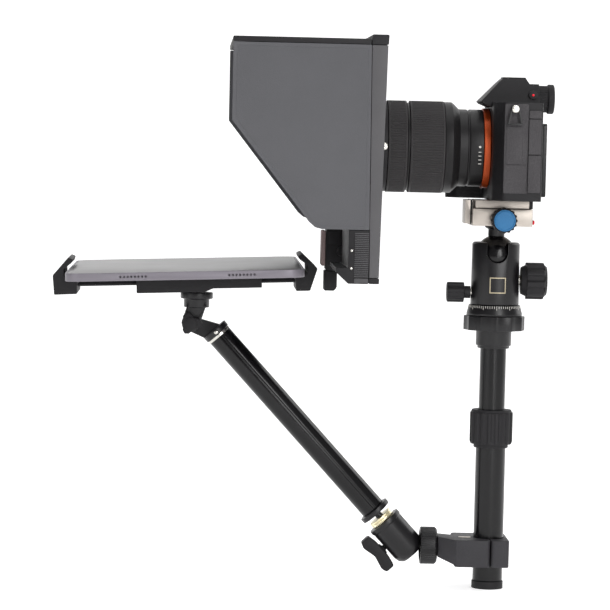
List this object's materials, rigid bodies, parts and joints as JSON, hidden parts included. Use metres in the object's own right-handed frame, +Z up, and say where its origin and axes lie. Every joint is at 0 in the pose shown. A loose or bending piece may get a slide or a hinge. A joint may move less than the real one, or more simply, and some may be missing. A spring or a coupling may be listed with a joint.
{
  "type": "teleprompter",
  "caption": "Beam splitter hood on a camera lens, on a ball head and telescopic column, with an articulated arm that holds a tablet below the glass.",
  "frame": {"origin": "centre of the column's foot, on its bottom face", "axes": "+Z up the column, +X along the lens axis towards the operator, +Y towards the camera's grip side"},
  "size_m": [0.3859, 0.28, 0.4273],
  "materials": {
    "black_moulding": "moulded, matte black",
    "hood_grey": "fine textured grey sheet, black inside",
    "frame_grey": "satin mid grey",
    "satin_black_metal": "black anodised, satin",
    "gloss_black_tube": "black anodised, polished",
    "clamp_grey": "dark grey powder coat",
    "knob_rubber": "ribbed black grip",
    "silver_alloy": "bead-blasted, silver anodised",
    "blue_anodised": "blue anodised cap with a black grip rim",
    "red_anodised": "red anodised",
    "bright_steel": "bright turned steel",
    "pale_brass": "knurled",
    "camera_black": "fine black crackle paint",
    "camera_rubber": "fine grained black rubber",
    "lcd_black": "glossy black display, switched off",
    "lens_black": "black satin barrel",
    "lens_ring_rubber": "fine axial ribs",
    "mount_orange": "orange anodised",
    "lens_glass": "coated optical glass",
    "beam_splitter": "half mirrored glass",
    "rose_pad": "rose grey pad with a pale edge",
    "tablet_metal": "fine blasted",
    "tablet_screen": "glossy display glass"
  },
  "bodies": {
    "root": {"column_end_cap": "black_moulding", "column_lower_tube": "gloss_black_tube", "clamp_fixed_jaw": "clamp_grey", "dish_flange": "satin_black_metal", "mini_ball": "bright_steel"},
    "collar": {"twist_lock_collar": "knob_rubber"},
    "upper_column": {"column_upper_tube": "gloss_black_tube", "head_platform": "satin_black_metal", "pan_base": "satin_black_metal"},
    "head_housing": {"ball_housing": "satin_black_metal"},
    "main_knob": {"main_lock_knob": "knob_rubber"},
    "pan_knob": {"pan_lock_knob": "knob_rubber"},
    "ball_body": {"ball": "gloss_black_tube"},
    "qr_clamp": {"ball_neck": "satin_black_metal", "qr_clamp_body": "silver_alloy"},
    "qr_jaw": {"qr_moving_jaw": "silver_alloy"},
    "qr_screw": {"qr_knob": "blue_anodised"},
    "pin": {"safety_pin": "red_anodised"},
    "camera": {"qr_plate": "silver_alloy", "camera_body": "camera_black", "viewfinder_eyecup": "camera_rubber", "lens_barrel": "lens_black", "lens_front_glass": "lens_glass", "lens_mount_ring": "mount_orange", "lens_adapter": "black_moulding", "frame_shell": "frame_grey", "frame_top_cap": "black_moulding", "frame_bottom_cap": "black_moulding", "base_block": "black_moulding", "glass_frame": "black_moulding", "beam_splitter_glass": "beam_splitter"},
    "door_upper": {"port_door_upper": "camera_rubber"},
    "door_lower": {"port_door_lower": "camera_rubber"},
    "lcd": {"lcd_screen": "lcd_black"},
    "shutter": {"shutter_button": "bright_steel"},
    "strap": {"strap_ring": "bright_steel"},
    "zoom": {"zoom_ring": "lens_ring_rubber"},
    "focus": {"focus_ring": "lens_ring_rubber"},
    "adapter_screw": {"adapter_lock_screw": "bright_steel"},
    "hood_top": {"hood_top_flap": "black_moulding"},
    "hood_near": {"hood_side_near": "hood_grey"},
    "hood_far": {"hood_side_far": "hood_grey"},
    "phone_clamp": {"phone_clamp_body": "black_moulding", "phone_clamp_pad": "rose_pad"},
    "phone_jaw": {"phone_clamp_jaw": "black_moulding"},
    "clamp_jaw": {"clamp_moving_jaw": "clamp_grey"},
    "clamp_screw": {"clamp_knob": "knob_rubber"},
    "arm": {"mini_head_body": "satin_black_metal", "arm_lower_cap": "satin_black_metal", "arm_tube": "gloss_black_tube", "arm_upper_cap": "satin_black_metal"},
    "mini_knob": {"mini_wing_knob": "black_moulding"},
    "arm_nut": {"arm_lock_nut": "pale_brass"},
    "top_knob": {"top_wing_knob": "black_moulding"},
    "mount": {"tablet_mount": "satin_black_metal"},
    "holder": {"holder_body": "black_moulding", "right_jaw": "black_moulding", "tablet_body": "tablet_metal", "tablet_glass": "tablet_screen"},
    "left_jaw_body": {"left_jaw": "black_moulding"}
  },
  "joints": [
    {"name": "column_slide", "type": "slide", "parent": "root", "child": "upper_column", "axis": [0, 0, 1], "range_m": [-0.02, 0.03]},
    {"name": "collar_twist", "type": "hinge", "parent": "root", "child": "collar", "pos_m": [0, 0, 0.126], "axis": [0, 0, 1], "range_deg": [0, 90]},
    {"name": "head_pan", "type": "hinge", "parent": "upper_column", "child": "head_housing", "pos_m": [0, 0, 0.2234], "axis": [0, 0, 1], "range_deg": [-6, 6]},
    {"name": "main_lock_turn", "type": "hinge", "parent": "head_housing", "child": "main_knob", "pos_m": [0.03, 0, 0.2424], "axis": [1, 0, 0], "range_deg": [0, 180]},
    {"name": "pan_lock_turn", "type": "hinge", "parent": "head_housing", "child": "pan_knob", "pos_m": [-0.03, 0, 0.2324], "axis": [1, 0, 0], "range_deg": [0, 180]},
    {"name": "ball_roll", "type": "hinge", "parent": "head_housing", "child": "ball_body", "pos_m": [0, 0, 0.2612], "axis": [1, 0, 0], "range_deg": [-8, 8]},
    {"name": "ball_tilt", "type": "hinge", "parent": "ball_body", "child": "qr_clamp", "pos_m": [0, 0, 0.2612], "axis": [0, 1, 0], "range_deg": [-4, 22]},
    {"name": "plate_slide", "type": "slide", "parent": "qr_clamp", "child": "camera", "axis": [1, 0, 0], "range_m": [0, 0.012]},
    {"name": "qr_knob_turn", "type": "hinge", "parent": "qr_jaw", "child": "qr_screw", "pos_m": [0.003, -0.03, 0.2898], "axis": [0, 1, 0], "range_deg": [0, 720]},
    {"name": "qr_jaw_slide", "type": "slide", "parent": "qr_clamp", "child": "qr_jaw", "axis": [0, -1, 0], "range_m": [0, 0.002]},
    {"name": "safety_pin_push", "type": "slide", "parent": "qr_clamp", "child": "pin", "axis": [1, 0, 0], "range_m": [-0.002, 0], "stiffness_N_per_m": 300, "springref_m": 0.0005},
    {"name": "door_upper_swing", "type": "hinge", "parent": "camera", "child": "door_upper", "pos_m": [0.0268, -0.0571, 0.3545], "axis": [0, 0, 1], "range_deg": [0, 110]},
    {"name": "door_lower_swing", "type": "hinge", "parent": "camera", "child": "door_lower", "pos_m": [0.0268, -0.0571, 0.3265], "axis": [0, 0, 1], "range_deg": [0, 110]},
    {"name": "lcd_tilt", "type": "hinge", "parent": "camera", "child": "lcd", "pos_m": [0.0313, 0, 0.3645], "axis": [0, -1, 0], "range_deg": [0, 90]},
    {"name": "shutter_press", "type": "slide", "parent": "camera", "child": "shutter", "axis": [0, 0, 1], "range_m": [-0.0008, 0], "stiffness_N_per_m": 300, "springref_m": 0.0005},
    {"name": "strap_ring_swing", "type": "hinge", "parent": "camera", "child": "strap", "pos_m": [0.0064, -0.0598, 0.3757], "axis": [0, 1, 0], "range_deg": [-20, 20]},
    {"name": "zoom_turn", "type": "hinge", "parent": "camera", "child": "zoom", "pos_m": [-0.055, 0, 0.345], "axis": [1, 0, 0], "range_deg": [-35, 35]},
    {"name": "focus_turn", "type": "hinge", "parent": "camera", "child": "focus", "pos_m": [-0.08, 0, 0.345], "axis": [1, 0, 0], "range_deg": [-90, 90]},
    {"name": "adapter_screw_turn", "type": "hinge", "parent": "camera", "child": "adapter_screw", "pos_m": [-0.0916, -0.038, 0.345], "axis": [0, 1, 0], "range_deg": [0, 360]},
    {"name": "hood_top_lift", "type": "hinge", "parent": "camera", "child": "hood_top", "pos_m": [-0.1092, 0, 0.424], "axis": [0, 1, 0], "range_deg": [0, 90]},
    {"name": "hood_near_swing", "type": "hinge", "parent": "camera", "child": "hood_near", "pos_m": [-0.1086, -0.14, 0.35], "axis": [0, 0, 1], "range_deg": [0, 90]},
    {"name": "hood_far_swing", "type": "hinge", "parent": "camera", "child": "hood_far", "pos_m": [-0.1086, 0.14, 0.35], "axis": [0, 0, -1], "range_deg": [0, 90]},
    {"name": "phone_clamp_tilt", "type": "hinge", "parent": "camera", "child": "phone_clamp", "pos_m": [-0.12, 0, 0.2614], "axis": [0, 1, 0], "range_deg": [-6, 6]},
    {"name": "phone_jaw_slide", "type": "slide", "parent": "phone_clamp", "child": "phone_jaw", "axis": [0, 0, -1], "range_m": [0, 0.015]},
    {"name": "clamp_knob_turn", "type": "hinge", "parent": "root", "child": "clamp_screw", "pos_m": [-0.035, 0.019, 0.031], "axis": [1, 0, 0], "range_deg": [0, 1080]},
    {"name": "clamp_jaw_slide", "type": "slide", "parent": "root", "child": "clamp_jaw", "axis": [1, 0, 0], "range_m": [0, 0.00375]},
    {"name": "arm_tilt", "type": "hinge", "parent": "root", "child": "arm", "pos_m": [-0.0653, 0, 0.0326], "axis": [0, 1, 0], "range_deg": [-30, 0]},
    {"name": "mini_knob_turn", "type": "hinge", "parent": "arm", "child": "mini_knob", "pos_m": [-0.07161, 0, 0.03943], "axis": [-0.7349, 0, -0.6782], "range_deg": [-90, 90]},
    {"name": "arm_nut_turn", "type": "hinge", "parent": "arm", "child": "arm_nut", "pos_m": [-0.08429, 0, 0.05318], "axis": [-0.6782, 0, 0.7349], "range_deg": [0, 90]},
    {"name": "top_knob_turn", "type": "hinge", "parent": "arm", "child": "top_knob", "pos_m": [-0.2372, 0, 0.204], "axis": [0, 1, 0], "range_deg": [-60, 60]},
    {"name": "tablet_tilt", "type": "hinge", "parent": "arm", "child": "mount", "pos_m": [-0.2372, 0, 0.204], "axis": [0, 1, 0], "range_deg": [-10, 3]},
    {"name": "tablet_swivel", "type": "hinge", "parent": "mount", "child": "holder", "pos_m": [-0.233, 0, 0.23], "axis": [0, 0, 1], "range_deg": [-4, 4]},
    {"name": "left_jaw_slide", "type": "slide", "parent": "holder", "child": "left_jaw_body", "axis": [-0.9992, 0, -0.0401], "range_m": [0, 0.02], "stiffness_N_per_m": 150, "springref_m": -0.012}
  ],
  "couplings": [
    {"joint": "qr_knob_turn", "follows": "qr_jaw_slide", "rad_per_m": 6283.1},
    {"joint": "clamp_knob_turn", "follows": "clamp_jaw_slide", "rad_per_m": 5026.5}
  ]
}
